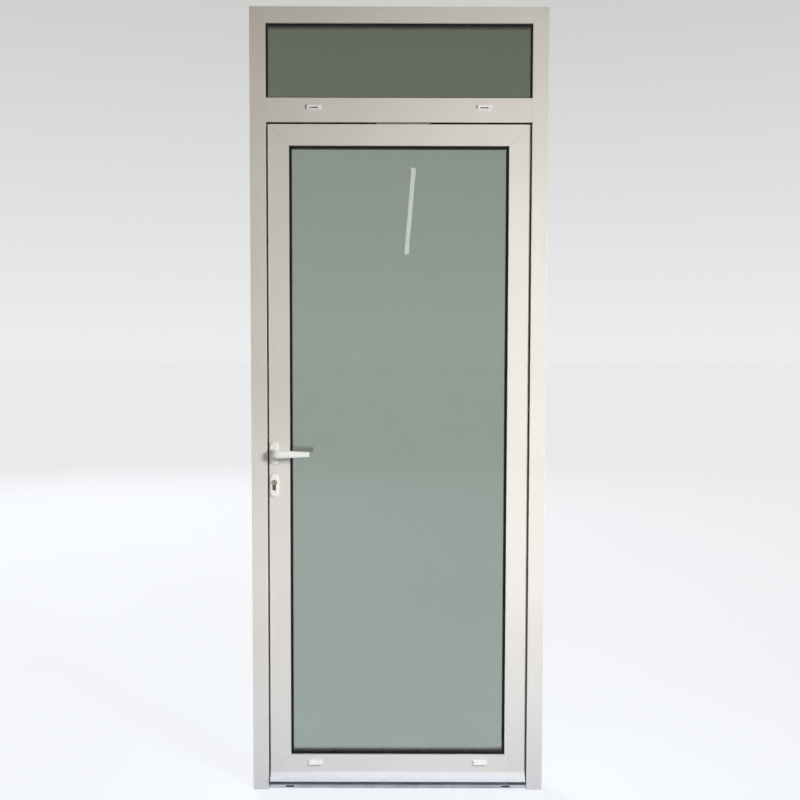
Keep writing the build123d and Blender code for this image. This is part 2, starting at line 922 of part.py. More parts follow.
latch_rear = -flange_half + plate_thickness + latch_body
hook_start = lock_x + nose_width / 2 + nose_play
tail_bottom = handle_z + hub_radius + nose_play
with BuildPart() as latch_bolt:
    with BuildSketch(Plane.XY.offset(latch_bottom)):
        with BuildLine():
            Polyline(
                (latch_rear, front + bolt_near),
                (-flange_half - latch_throw + latch_bevel, front + bolt_near),
                (-flange_half - latch_throw, front + bolt_near + latch_bevel),
                (-flange_half - latch_throw, front + bolt_far),
                (latch_rear, front + bolt_far),
                close=True,
            )
        make_face()
    extrude(amount=latch_height)
    tail_top = tail_bottom + tail_height
    tail = box_cut(
        latch_rear - latch_body / 2, hook_start + hook_width,
        tail_near, tail_near + tail_thickness, tail_bottom, tail_top,
    )
    add(tail)
    hook = box_cut(
        hook_start, hook_start + hook_width, tail_near, nose_far, tail_bottom, tail_top
    )
    add(hook)
save(latch_bolt.part, "latch_bolt")

with BuildPart() as dead_bolt:
    bolt = box_cut(
        -flange_half + bolt_play, -flange_half + bolt_play + dead_bolt_length,
        bolt_near, bolt_far, dead_bolt_bottom, dead_bolt_top,
    )
    add(bolt)
    chamfer(dead_bolt.faces().sort_by(Axis.X)[0].edges(), length=bolt_play)
save(dead_bolt.part, "dead_bolt")

with BuildPart() as strike_plate:
    strike = box_cut(
        -base_half, -base_half + strike_thickness,
        lock_depth - strike_width / 2, lock_depth + strike_width / 2,
        strike_bottom, strike_top,
    )
    add(strike)
    for bottom, top in bolt_spans:
        window = box_cut(
            -base_half - overrun, -base_half + overrun,
            bolt_near - strike_play, bolt_far + strike_play,
            bottom - strike_play, top + strike_play,
        )
        add(window, mode=Mode.SUBTRACT)
save(strike_plate.part, "strike_plate")

# Cylinder: body, two plugs, the cam on the outer plug and the fixing screw
cylinder_near = lock_depth - cylinder_outer_half
cylinder_far = lock_depth + cylinder_inner_half
gap_near = lock_depth - cam_gap / 2
gap_far = lock_depth + cam_gap / 2
cylinder_bottom = cylinder_z + barrel_radius - cylinder_height
with BuildPart() as cylinder_body:
    with BuildSketch(facing(cylinder_near)):
        profile_outline(0)
    extrude(amount=cylinder_near - cylinder_far)
    with BuildSketch(facing(cylinder_near)):
        with Locations((lock_x, cylinder_z)):
            Circle(plug_radius + plug_play)
    extrude(amount=cylinder_near - cylinder_far, mode=Mode.SUBTRACT)
    gap = box_cut(
        lock_x - 2 * barrel_radius, lock_x + 2 * barrel_radius,
        gap_near, gap_far,
        cylinder_bottom + bridge_height, cylinder_z + 2 * barrel_radius,
    )
    add(gap, mode=Mode.SUBTRACT)
    with BuildSketch(screw_plane):
        Circle(screw_radius + thread_play)
    extrude(amount=backset + tail_width / 2, mode=Mode.SUBTRACT)
save(cylinder_body.part, "cylinder_body")

with BuildPart() as cylinder_screw:
    with BuildSketch(screw_plane):
        Circle(screw_head_radius)
    extrude(amount=screw_head)
    with BuildSketch(screw_plane):
        Circle(screw_radius)
    extrude(amount=backset + tail_width / 2)
save(cylinder_screw.part, "cylinder_screw")

with BuildPart() as outer_plug:
    with BuildSketch(facing(cylinder_near)):
        with Locations((lock_x, cylinder_z)):
            Circle(plug_radius)
    extrude(amount=cylinder_near - gap_near - cam_play)
    with BuildSketch(facing(gap_near + cam_play)):
        with Locations((lock_x, cylinder_z)):
            Circle(barrel_radius - cam_play)
        block(lock_x - cam_width / 2, lock_x + cam_width / 2, cylinder_z - cam_radius, cylinder_z)
    extrude(amount=2 * cam_play - cam_gap)
    with BuildSketch(facing(cylinder_near)):
        with Locations((lock_x, cylinder_z)):
            Rectangle(keyway_width, keyway_height)
    extrude(amount=-keyway_depth, mode=Mode.SUBTRACT)
save(outer_plug.part, "outer_plug")

with BuildPart() as inner_plug:
    with BuildSketch(facing(cylinder_far)):
        with Locations((lock_x, cylinder_z)):
            Circle(plug_radius)
    extrude(amount=cylinder_far - gap_far)
    with BuildSketch(facing(cylinder_far)):
        with Locations((lock_x, cylinder_z)):
            Rectangle(keyway_width, keyway_height)
    extrude(amount=inner_keyway_depth, mode=Mode.SUBTRACT)
save(inner_plug.part, "inner_plug")


# Roses and escutcheons: bevelled oval covers, hollow behind
def oval_cover(face, outward, centre_z, draw_bore):
    cover_plane = facing(face)
    with BuildPart() as cover:
        with BuildSketch(cover_plane):
            with Locations((lock_x, centre_z)):
                SlotOverall(rose_height, rose_width, rotation=90)
        extrude(amount=outward * rose_depth)
        rim = cover.faces().sort_by(Axis.Y)[0 if outward > 0 else -1]
        chamfer(rim.edges(), length=rose_bevel)
        with BuildSketch(cover_plane):
            with Locations((lock_x, centre_z)):
                SlotOverall(rose_height - 2 * rose_wall, rose_width - 2 * rose_wall, rotation=90)
        extrude(amount=outward * (rose_depth - rose_bevel - rose_wall), mode=Mode.SUBTRACT)
        with BuildSketch(cover_plane):
            draw_bore()
        extrude(amount=outward * rose_depth, mode=Mode.SUBTRACT)
    return cover.part


def collar_bore():
    with Locations((lock_x, handle_z)):
        Circle(collar_radius + collar_play)


def cylinder_bore():
    profile_outline(cylinder_play)


escutcheon_z = cylinder_z - escutcheon_drop
save(oval_cover(leaf_recess, 1, handle_z, collar_bore), "outer_rose")
save(oval_cover(leaf_back, -1, handle_z, collar_bore), "inner_rose")
save(oval_cover(leaf_recess, 1, escutcheon_z, cylinder_bore), "outer_escutcheon")
save(oval_cover(leaf_back, -1, escutcheon_z, cylinder_bore), "inner_escutcheon")


# Lever handles: a collar in the rose, a bent neck and an arm that thins towards its tip
def lever(face, outward):
    collar_start = face - outward * (rose_depth - collar_depth / 2)
    neck_start = collar_start - outward * collar_depth
    arm = face - outward * lever_projection
    with BuildPart() as handle:
        with BuildSketch(facing(collar_start)):
            with Locations((lock_x, handle_z)):
                Circle(collar_radius)
        extrude(amount=outward * collar_depth)
        with BuildLine(Plane.XY.offset(handle_z)):
            FilletPolyline(
                (lock_x, front + neck_start),
                (lock_x, front + arm),
                (lock_x + lever_shoulder, front + arm),
                radius=lever_bend,
            )
        with BuildSketch(facing(neck_start)):
            with Locations((lock_x, handle_z)):
                Ellipse(neck_radius, neck_height)
        sweep()
        shoulder = (lock_x + lever_shoulder, front + arm, handle_z)
        arm_plane = Plane(shoulder, x_dir=(0, 1, 0), z_dir=(1, 0, 0))
        with BuildSketch(arm_plane):
            Ellipse(neck_radius, neck_height)
        with BuildSketch(arm_plane.offset(lever_length - lever_shoulder)):
            Ellipse(lever_tip_radius, lever_tip_height)
        loft()
        fillet(handle.faces().sort_by(Axis.X)[-1].edges(), radius=lever_tip_radius / 2)
        with BuildSketch(facing(collar_start)):
            with Locations((lock_x, handle_z)):
                Rectangle(spindle_size, spindle_size)
        extrude(amount=outward * spindle_grip, mode=Mode.SUBTRACT)
    return handle.part


save(lever(leaf_recess, 1), "outer_lever")
save(lever(leaf_back, -1), "inner_lever")

spindle_near = leaf_recess - rose_depth + collar_depth / 2 - spindle_grip
spindle_far = leaf_back + rose_depth - collar_depth / 2 + spindle_grip
half_spindle = spindle_size / 2
spindle = box_cut(
    lock_x - half_spindle, lock_x + half_spindle,
    spindle_near, spindle_far,
    handle_z - half_spindle, handle_z + half_spindle,
)
save(spindle, "spindle")


# Hinges: the frame wing has the outer knuckles, the leaf wing the middle one
upright = (Align.CENTER, Align.CENTER, Align.MIN)


def on_hinge_axis(radius, base, height, mode=Mode.ADD):
    with Locations((hinge_x, front + hinge_depth, base)):
        Cylinder(radius, height, align=upright, mode=mode)


def screw_bores(x, face, centre_z):
    for lift in (-wing_screw_spread, wing_screw_spread):
        with Locations((x, front + face, centre_z + lift)):
            Cylinder(wing_screw_radius, 2 * wing_thickness, rotation=(90, 0, 0), mode=Mode.SUBTRACT)


def frame_wing(centre_z):
    base = centre_z - barrel_height / 2
    right = half_width - frame_wing_edge
    with BuildPart() as wing:
        add(
            box_cut(
                hinge_x, right, frame_depth, frame_depth + wing_thickness, base, base + barrel_height
            )
        )
        for start in (base, base + 2 * knuckle_height):
            web = box_cut(
                hinge_x, hinge_x + knuckle_radius,
                frame_depth, hinge_depth, start, start + knuckle_height,
            )
            add(web)
            on_hinge_axis(knuckle_radius, start, knuckle_height)
        on_hinge_axis(pin_radius + pin_play, base, barrel_height, Mode.SUBTRACT)
        screw_bores(frame_screw_x, frame_depth, centre_z)
    return wing.part


def leaf_wing(centre_z):
    base = centre_z - barrel_height / 2
    right = hinge_x - knuckle_radius
    start = base + knuckle_height + knuckle_gap
    height = knuckle_height - 2 * knuckle_gap
    with BuildPart() as wing:
        add(
            box_cut(
                right - leaf_wing_width, right, leaf_back, leaf_back + wing_thickness,
                base, base + barrel_height,
            )
        )
        add(box_cut(right, hinge_x, leaf_back, hinge_depth, start, start + height))
        on_hinge_axis(knuckle_radius, start, height)
        on_hinge_axis(pin_radius + pin_play, start, height, Mode.SUBTRACT)
        screw_bores(leaf_screw_x, leaf_back, centre_z)
    return wing.part


def hinge_pin(centre_z):
    base = centre_z - barrel_height / 2
    with BuildPart() as pin:
        on_hinge_axis(pin_radius, base, barrel_height)
        for start in (base - pin_head, base + barrel_height):
            on_hinge_axis(knuckle_radius, start, pin_head)
    return pin.part


for name, height in hinge_heights.items():
    save(frame_wing(height), f"{name}_hinge_frame_wing")
    save(leaf_wing(height), f"{name}_hinge_leaf_wing")
save_group([hinge_pin(height) for height in hinge_heights.values()], "hinge_pins")
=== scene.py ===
import json
import math
import random

import bmesh
import bpy
from mathutils import Matrix, Vector


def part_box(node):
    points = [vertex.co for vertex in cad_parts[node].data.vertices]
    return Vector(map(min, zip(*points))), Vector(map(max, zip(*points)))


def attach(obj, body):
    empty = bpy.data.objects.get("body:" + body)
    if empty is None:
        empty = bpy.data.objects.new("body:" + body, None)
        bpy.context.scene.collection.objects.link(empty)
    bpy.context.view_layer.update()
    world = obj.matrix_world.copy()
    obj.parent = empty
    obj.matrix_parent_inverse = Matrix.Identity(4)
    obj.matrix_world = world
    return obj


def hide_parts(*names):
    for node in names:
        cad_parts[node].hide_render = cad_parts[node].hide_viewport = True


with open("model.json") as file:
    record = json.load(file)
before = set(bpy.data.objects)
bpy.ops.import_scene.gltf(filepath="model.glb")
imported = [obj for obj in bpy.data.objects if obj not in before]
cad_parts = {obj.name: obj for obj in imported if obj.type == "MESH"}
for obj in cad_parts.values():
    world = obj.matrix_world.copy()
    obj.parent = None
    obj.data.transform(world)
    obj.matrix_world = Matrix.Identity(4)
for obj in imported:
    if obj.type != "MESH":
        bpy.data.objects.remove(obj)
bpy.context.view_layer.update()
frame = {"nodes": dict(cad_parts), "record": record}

nodes = frame["nodes"]
scene = bpy.context.scene
scene.view_settings.view_transform = "Standard"
print("frame loaded:", len(nodes), "nodes")


# camera at the photo's viewpoint
photoView = {
    "lens": 45.07,              # mm
    "sensor": 36.0,
    "place": (0.0021, -3.0941, 1.3908),
    "pitch": -3.192,            # degrees, looking down a little
    "yaw": -0.049,
    "roll": 0.130,
}
cameraData = bpy.data.cameras.new("photoCamera")
cameraData.lens = photoView["lens"]
cameraData.sensor_width = photoView["sensor"]
cameraData.dof.use_dof = False
camera = bpy.data.objects.new("photoCamera", cameraData)
scene.collection.objects.link(camera)
turn = Matrix.Rotation(math.radians(photoView["yaw"]), 4, "Z")
turn = turn @ Matrix.Rotation(math.radians(90 + photoView["pitch"]), 4, "X")
turn = turn @ Matrix.Rotation(math.radians(photoView["roll"]), 4, "Z")
camera.matrix_world = Matrix.Translation(photoView["place"]) @ turn
scene.camera = camera
print("camera placed")


# colours and node helpers
def tone(red, green, blue):      # 0-255 as seen on screen, to linear
    linear = []
    for part in (red, green, blue):
        part = part / 255
        linear.append(part / 12.92 if part <= 0.04045 else ((part + 0.055) / 1.055) ** 2.4)
    return (*linear, 1.0)


def startMaterial(name):
    material = bpy.data.materials.new(name)
    material.use_nodes = True
    tree = material.node_tree
    tree.nodes.clear()
    output = tree.nodes.new("ShaderNodeOutputMaterial")
    shader = tree.nodes.new("ShaderNodeBsdfPrincipled")
    tree.links.new(shader.outputs["BSDF"], output.inputs["Surface"])
    return material, tree, shader


def placeCoords(tree, stretch=(1, 1, 1)):      # the piece's own coordinates, in metres
    coords = tree.nodes.new("ShaderNodeTexCoord")
    mapping = tree.nodes.new("ShaderNodeMapping")
    mapping.inputs["Scale"].default_value = stretch
    tree.links.new(coords.outputs["Object"], mapping.inputs["Vector"])
    return mapping.outputs["Vector"]


def noiseField(tree, scale, detail=3.0, stretch=(1, 1, 1), rough=0.5):
    texture = tree.nodes.new("ShaderNodeTexNoise")
    texture.inputs["Scale"].default_value = scale
    texture.inputs["Detail"].default_value = detail
    texture.inputs["Roughness"].default_value = rough
    tree.links.new(placeCoords(tree, stretch), texture.inputs["Vector"])
    return texture.outputs["Fac"]


def spread(tree, value, fromSpan, toSpan=(0.0, 1.0)):
    ranger = tree.nodes.new("ShaderNodeMapRange")
    ranger.inputs["From Min"].default_value = fromSpan[0]
    ranger.inputs["From Max"].default_value = fromSpan[1]
    ranger.inputs["To Min"].default_value = toSpan[0]
    ranger.inputs["To Max"].default_value = toSpan[1]
    tree.links.new(value, ranger.inputs["Value"])
    return ranger.outputs["Result"]


def combine(tree, operation, first, second):
    result = tree.nodes.new("ShaderNodeMath")
    result.operation = operation
    tree.links.new(first, result.inputs[0])
    tree.links.new(second, result.inputs[1])
    return result.outputs["Value"]


def mixTones(tree, factor, first, second):     # first and second are tones or sockets
    mixer = tree.nodes.new("ShaderNodeMix")
    mixer.data_type = "RGBA"
    tree.links.new(factor, mixer.inputs[0])
    for socket, colour in ((mixer.inputs[6], first), (mixer.inputs[7], second)):
        if isinstance(colour, tuple):
            socket.default_value = colour
        else:
            tree.links.new(colour, socket)
    return mixer.outputs[2]


def mixShaders(tree, factor, first, second):   # straight into the output
    mixer = tree.nodes.new("ShaderNodeMixShader")
    for socket, source in zip(mixer.inputs, (factor, first, second)):
        tree.links.new(source, socket)
    output = next(node for node in tree.nodes if node.type.startswith("OUTPUT"))
    tree.links.new(mixer.outputs["Shader"], output.inputs["Surface"])


def addBump(tree, shader, height, strength, depth):
    bump = tree.nodes.new("ShaderNodeBump")
    bump.inputs["Strength"].default_value = strength
    bump.inputs["Distance"].default_value = depth
    tree.links.new(height, bump.inputs["Height"])
    feeding = shader.inputs["Normal"].links
    if feeding:
        tree.links.new(feeding[0].from_socket, bump.inputs["Normal"])
    tree.links.new(bump.outputs["Normal"], shader.inputs["Normal"])


def heightOf(tree, vector):
    split = tree.nodes.new("ShaderNodeSeparateXYZ")
    tree.links.new(vector, split.inputs["Vector"])
    return split.outputs["Z"]


finishes = {}
glossSpan = (0.3, 0.7)           # the middle of a noise, where roughness changes

# cream powder coat: faint clouding, rain streaks, a speckled bluish grey towards the floor, orange peel
coatLooks = {
    "creamPaint": {
        "coat": tone(223, 216, 208),
        "clouded": tone(218, 210, 200),
        "streak": tone(205, 197, 186),
        "lowTint": tone(212, 211, 216),
    },
    "weatherBarLitPaint": {         # a lighter copy of the cream paint: painted light on the bar's sloped top
        "coat": tone(238, 236, 238),
        "clouded": tone(232, 230, 232),
        "streak": tone(220, 217, 216),
        "lowTint": tone(228, 228, 233),
    },
}
coatDetail = {
    "cloudScale": 2.6, "cloudSpan": (0.35, 0.68),
    "streakStretch": (55, 55, 0.9), "streakSpan": (0.56, 0.82), "streakShare": 0.22,
    "lowTintTop": 0.40, "lowTintShare": 0.75,      # m above the floor
    "speckleScale": 38.0, "speckleRough": 0.65, "speckleSpan": (0.36, 0.66), "speckleLeast": 0.3,
    "glossScale": 14.0, "rough": (0.34, 0.46),
    "peelScale": 620.0, "peelStrength": 0.16, "peelDepth": 0.00018,
    "waveScale": 90.0, "waveStrength": 0.10, "waveDepth": 0.0003,
}


def powderCoat(name, look):
    own = coatDetail
    material, tree, shader = startMaterial(name)
    clouds = spread(tree, noiseField(tree, own["cloudScale"], 4.0), own["cloudSpan"])
    base = mixTones(tree, clouds, look["coat"], look["clouded"])
    streaks = noiseField(tree, 1.0, 5.0, own["streakStretch"])
    streaks = spread(tree, streaks, own["streakSpan"], (0.0, own["streakShare"]))
    base = mixTones(tree, streaks, base, look["streak"])
    # a speckled bluish grey mixed in, strongest at the floor and gone 0.40 m up
    height = heightOf(tree, placeCoords(tree))
    low = spread(tree, height, (0.0, own["lowTintTop"]), (own["lowTintShare"], 0.0))
    speckle = noiseField(tree, own["speckleScale"], 6.0, rough=own["speckleRough"])
    speckle = spread(tree, speckle, own["speckleSpan"], (own["speckleLeast"], 1.0))
    base = mixTones(tree, combine(tree, "MULTIPLY", low, speckle), base, look["lowTint"])
    tree.links.new(base, shader.inputs["Base Color"])
    gloss = spread(tree, noiseField(tree, own["glossScale"], 4.0), glossSpan, own["rough"])
    tree.links.new(gloss, shader.inputs["Roughness"])
    peel = noiseField(tree, own["peelScale"], 2.0)
    addBump(tree, shader, peel, own["peelStrength"], own["peelDepth"])
    wave = noiseField(tree, own["waveScale"], 2.0)
    addBump(tree, shader, wave, own["waveStrength"], own["waveDepth"])
    return material


for name, look in coatLooks.items():
    finishes[name] = powderCoat(name, look)

# float glass: each pane tints a little, so the double unit reads grey green
glassTints = {
    "leafGlass": (0.565, 0.615, 0.575, 1.0),
    # the top light's panes are the same glass as the leaf's, tinted darker as painted shade for the
    # darker surroundings behind them
    "topLightGlassShaded": (0.40, 0.425, 0.373, 1.0),
}
glassDetail = {
    "passing": (0.95, 0.97, 0.955, 1.0),     # lamp light through one skin
    "bend": 1.52,
    "filmScale": 5.0, "filmStretch": (1, 1, 0.45), "filmSpan": (0.45, 0.75), "filmRough": 0.035,
    "waveScale": 2.2, "waveStrength": 0.01, "waveDepth": 0.002,
}


def floatGlass(name, tint):
    own = glassDetail
    material, tree, shader = startMaterial(name)
    shader.inputs["Base Color"].default_value = tint
    shader.inputs["Transmission Weight"].default_value = 1.0
    shader.inputs["IOR"].default_value = own["bend"]
    film = noiseField(tree, own["filmScale"], 6.0, own["filmStretch"])       # left by wiping
    film = spread(tree, film, own["filmSpan"], (0.0, own["filmRough"]))
    tree.links.new(film, shader.inputs["Roughness"])
    wave = noiseField(tree, own["waveScale"], 1.0)                           # from the rollers
    addBump(tree, shader, wave, own["waveStrength"], own["waveDepth"])
    clear = tree.nodes.new("ShaderNodeBsdfTransparent")
    clear.inputs["Color"].default_value = own["passing"]
    path = tree.nodes.new("ShaderNodeLightPath")
    mixShaders(tree, path.outputs["Is Shadow Ray"], shader.outputs["BSDF"], clear.outputs["BSDF"])
    return material


for name, tint in glassTints.items():
    finishes[name] = floatGlass(name, tint)

# black rubber and polyamide, and the sealer in the mitres
darkLooks = {
    "blackRubber": {
        "fresh": tone(11, 11, 12), "worn": tone(23, 22, 22), "rough": (0.55, 0.75), "grain": 420.0,
    },
    "blackPolyamide": {
        "fresh": tone(20, 20, 21), "worn": tone(32, 31, 30), "rough": (0.45, 0.65), "grain": 300.0,
    },
    "jointSealer": {
        "fresh": tone(160, 151, 141), "worn": tone(140, 132, 122), "rough": (0.55, 0.75), "grain": 420.0,
    },
}
darkDetail = {
    "shine": 0.28, "bloomScale": 55.0, "bloomSpan": (0.45, 0.75), "glossScale": 160.0,
    "grainStrength": 0.25, "grainDepth": 0.0002,
}


def darkMoulding(name, look):
    own = darkDetail
    material, tree, shader = startMaterial(name)
    shader.inputs["Specular IOR Level"].default_value = own["shine"]
    bloom = spread(tree, noiseField(tree, own["bloomScale"], 5.0), own["bloomSpan"])
    tree.links.new(mixTones(tree, bloom, look["fresh"], look["worn"]), shader.inputs["Base Color"])
    gloss = spread(tree, noiseField(tree, own["glossScale"], 3.0), glossSpan, look["rough"])
    tree.links.new(gloss, shader.inputs["Roughness"])
    grain = noiseField(tree, look["grain"], 3.0)
    addBump(tree, shader, grain, own["grainStrength"], own["grainDepth"])
    return material


for name, look in darkLooks.items():
    finishes[name] = darkMoulding(name, look)

# bare and plated metals: grain drawn along one axis
metalLooks = {
    "anodisedAluminium": {
        "bright": tone(206, 209, 216), "dull": tone(186, 188, 194),
        "rough": (0.34, 0.52), "drawn": (2, 260, 260),
    },
    "millAluminium": {
        "bright": tone(188, 190, 192), "dull": tone(160, 162, 164),
        "rough": (0.28, 0.5), "drawn": (3, 3, 200),
    },
    "lockSteel": {
        "bright": tone(182, 184, 186), "dull": tone(150, 150, 148),
        "rough": (0.22, 0.42), "drawn": (300, 300, 6),
    },
    "screwSteel": {
        "bright": tone(132, 134, 138), "dull": tone(102, 103, 106),
        "rough": (0.20, 0.36), "drawn": (260, 260, 260),
    },
    "cylinderNickelBrass": {
        "bright": tone(118, 101, 82), "dull": tone(82, 68, 54),
        "rough": (0.24, 0.44), "drawn": (240, 8, 240),
    },
    # the plug face is nickel, made lighter still as a painted glint
    "plugNickelGlint": {
        "bright": tone(196, 186, 170), "dull": tone(160, 148, 130),
        "rough": (0.16, 0.30), "drawn": (240, 8, 240),
    },
}
metalDetail = {
    "patchScale": 24.0, "patchSpan": (0.4, 0.72), "grainStrength": 0.12, "grainDepth": 0.0001,
}


def drawnMetal(name, look):
    own = metalDetail
    material, tree, shader = startMaterial(name)
    shader.inputs["Metallic"].default_value = 1.0
    grain = noiseField(tree, 1.0, 4.0, look["drawn"])
    patches = spread(tree, noiseField(tree, own["patchScale"], 5.0), own["patchSpan"])
    tree.links.new(mixTones(tree, patches, look["bright"], look["dull"]), shader.inputs["Base Color"])
    tree.links.new(spread(tree, grain, glossSpan, look["rough"]), shader.inputs["Roughness"])
    addBump(tree, shader, grain, own["grainStrength"], own["grainDepth"])
    return material


for name, look in metalLooks.items():
    finishes[name] = drawnMetal(name, look)

# white lacquer and moulded white plastic
whiteLooks = {
    "whiteLacquer": {
        "fresh": tone(240, 238, 233), "aged": tone(232, 228, 221),
        "rough": (0.20, 0.30), "grain": 500.0, "grainStrength": 0.06,
    },
    "whiteMoulding": {
        "fresh": tone(245, 244, 241), "aged": tone(238, 236, 231),
        "rough": (0.24, 0.36), "grain": 760.0, "grainStrength": 0.10,
    },
}
whiteDetail = {"ageScale": 30.0, "ageSpan": (0.38, 0.72), "glossScale": 70.0, "grainDepth": 0.00015}


def whiteFinish(name, look):
    own = whiteDetail
    material, tree, shader = startMaterial(name)
    ageing = spread(tree, noiseField(tree, own["ageScale"], 5.0), own["ageSpan"])
    tree.links.new(mixTones(tree, ageing, look["fresh"], look["aged"]), shader.inputs["Base Color"])
    gloss = spread(tree, noiseField(tree, own["glossScale"], 4.0), glossSpan, look["rough"])
    tree.links.new(gloss, shader.inputs["Roughness"])
    grain = noiseField(tree, look["grain"], 2.0)
    addBump(tree, shader, grain, look["grainStrength"], own["grainDepth"])
    return material


for name, look in whiteLooks.items():
    finishes[name] = whiteFinish(name, look)

# which finish each slot takes, and the nodes that differ from their slot
finishOfSlot = {
    "cream_paint": "creamPaint",
    "anodised_aluminium": "anodisedAluminium",
    "mill_aluminium": "millAluminium",
    "black_polyamide": "blackPolyamide",
    "black_rubber": "blackRubber",
    "float_glass": "leafGlass",
    "white_moulding": "whiteMoulding",
    "white_lacquer": "whiteLacquer",
    "lock_steel": "lockSteel",
    "cylinder_nickel_brass": "cylinderNickelBrass",
}
finishOfNode = {
    # the top light panes take the darker tint, which is painted shade
    "toplight_outer_pane": "topLightGlassShaded",
    "toplight_inner_pane": "topLightGlassShaded",
    # the plugs take the lighter nickel, which is partly a painted glint
    "outer_plug": "plugNickelGlint",
    "inner_plug": "plugNickelGlint",
    # the weather bar takes the lighter copy of the cream paint, which is painted light
    "weather_bar": "weatherBarLitPaint",
}
for entry in frame["record"]["subparts"]:
    finish = finishOfNode.get(entry["node"], finishOfSlot[entry["material_slot"]])
    skins = nodes[entry["node"]].data.materials
    skins.clear()
    skins.append(finishes[finish])
print("finishes made:", len(finishes))


# broken edges, so that bars and small turned pieces catch a line of light
brokenEdges = {
    "joinWithin": 0.00001,
    "segments": 2,
    "angle": 32,                 # degrees, from which an edge counts as sharp
    "widths": {
        0.0006: [
            "lock_jamb", "hinge_jamb", "head", "transom", "lock_stile", "hinge_stile", "top_rail",
            "bottom_rail", "toplight_beads", "leaf_beads", "weather_bar", "threshold",
        ],
        0.0003: [
            "weather_bar_end_caps", "hinge_pins", "cylinder_body", "outer_plug", "inner_plug",
            "latch_bolt",
        ],
    },
}
for width, names in brokenEdges["widths"].items():
    for name in names:
        weld = nodes[name].modifiers.new("joinedSkin", "WELD")
        weld.merge_threshold = brokenEdges["joinWithin"]
        bevel = nodes[name].modifiers.new("brokenEdge", "BEVEL")
        bevel.width = width
        bevel.segments = brokenEdges["segments"]
        bevel.limit_method = "ANGLE"
        bevel.angle_limit = math.radians(brokenEdges["angle"])
        normals = nodes[name].modifiers.new("evenNormals", "WEIGHTED_NORMAL")
        normals.keep_sharp = False
print("edges broken")


# mesh helpers for the small pieces
creaseAngle = 38                 # degrees


def finishPiece(mesh, name, finish, body, smooth=True):
    data = bpy.data.meshes.new(name)
    bmesh.ops.recalc_face_normals(mesh, faces=mesh.faces)
    mesh.to_mesh(data)
    mesh.free()
    for face in data.polygons:
        face.use_smooth = smooth
    data.materials.append(finishes[finish])
    piece = bpy.data.objects.new(name, data)
    scene.collection.objects.link(piece)
    if smooth:
        creases = piece.modifiers.new("creases", "EDGE_SPLIT")
        creases.split_angle = math.radians(creaseAngle)
    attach(piece, body)
    return piece


def addSides(mesh, lower, upper):
    for step in range(len(lower)):
        after = (step + 1) % len(lower)
        mesh.faces.new((lower[step], lower[after], upper[after], upper[step]))


def addPrism(mesh, upper, lower):
    addSides(mesh, upper, lower)
    mesh.faces.new(upper)
    mesh.faces.new(list(reversed(lower)))


def ringAngles(steps):
    return [2 * math.pi * step / steps for step in range(steps)]


def addRings(mesh, centre, outward, rings):    # each ring: a reach for every angle, and its depth
    outward = Vector(outward).normalized()
    across = Vector((0, 0, 1)).cross(outward).normalized()
    up = outward.cross(across)
    loops = []
    for reaches, depth in rings:
        loop = []
        for angle, reach in zip(ringAngles(len(reaches)), reaches):
            spoke = across * math.cos(angle) + up * math.sin(angle)
            loop.append(mesh.verts.new(Vector(centre) + spoke * reach + outward * depth))
        loops.append(loop)
    for lower, upper in zip(loops, loops[1:]):
        addSides(mesh, lower, upper)
    mesh.faces.new(list(reversed(loops[0])))
    return loops[-1]


# countersunk screw head with a cross recess, sizes as shares of its radius and rise
screwHead = {
    "steps": 32,
    "sunk": 0.0004,
    "rise": 0.0006,
    "recess": 0.0014,
    "crown": ((1.0, 0.35), (0.84, 0.82), (0.68, 1.0)),
    "arm": 0.56,
    "armAngle": math.pi / 16,
    "narrowing": 0.8,
}


def crossReach(angle, arm, half):      # from the middle of the cross to its outline
    angle = (angle + math.pi / 4) % (math.pi / 2) - math.pi / 4
    return min(arm / math.cos(angle), half / max(abs(math.sin(angle)), 1e-6))


def addScrewHead(mesh, centre, outward, radius):
    own = screwHead
    arm = radius * own["arm"]
    half = arm * math.tan(own["armAngle"])
    cross = [crossReach(angle, arm, half) for angle in ringAngles(own["steps"])]
    rings = [([radius] * own["steps"], -own["sunk"])]
    for reach, lift in own["crown"]:
        rings.append(([radius * reach] * own["steps"], own["rise"] * lift))
    rings.append((cross, own["rise"]))
    rings.append(([reach * own["narrowing"] for reach in cross], own["rise"] - own["recess"]))
    mesh.faces.new(addRings(mesh, centre, outward, rings))


# screws of the hinge wings
wingScrews = {
    "heights": {"lower": 0.250, "middle": 1.16008, "upper": 1.830},
    "lift": 0.034,
    "frame": {"x": 0.445, "face": 0.038, "radius": 0.0034},
    "leaf": {"x": 0.405, "face": 0.046, "radius": 0.0042},
}
for place, z in wingScrews["heights"].items():
    for body in ("frame", "leaf"):
        wing = wingScrews[body]
        mesh = bmesh.new()
        for lift in (-wingScrews["lift"], wingScrews["lift"]):
            addScrewHead(mesh, (wing["x"], wing["face"], z + lift), (0, 1, 0), wing["radius"])
        finishPiece(mesh, f"{place}_hinge_{body}_screws", "screwSteel", body)

# screws of the faceplate on the leaf's edge and of the strike plate on the jamb
plateScrews = {
    "depth": 0.025,
    "radius": 0.0038,
    "faceplate": {"body": "leaf", "x": -0.417, "outward": -1, "heights": (0.9045, 1.1165)},
    "strike_plate": {"body": "frame", "x": -0.420, "outward": 1, "heights": (0.955, 1.0975)},
}
for name in ("faceplate", "strike_plate"):
    plate = plateScrews[name]
    mesh = bmesh.new()
    for z in plate["heights"]:
        spot = (plate["x"], plateScrews["depth"], z)
        addScrewHead(mesh, spot, (plate["outward"], 0, 0), plateScrews["radius"])
    finishPiece(mesh, f"{name}_screws", "screwSteel", plate["body"])

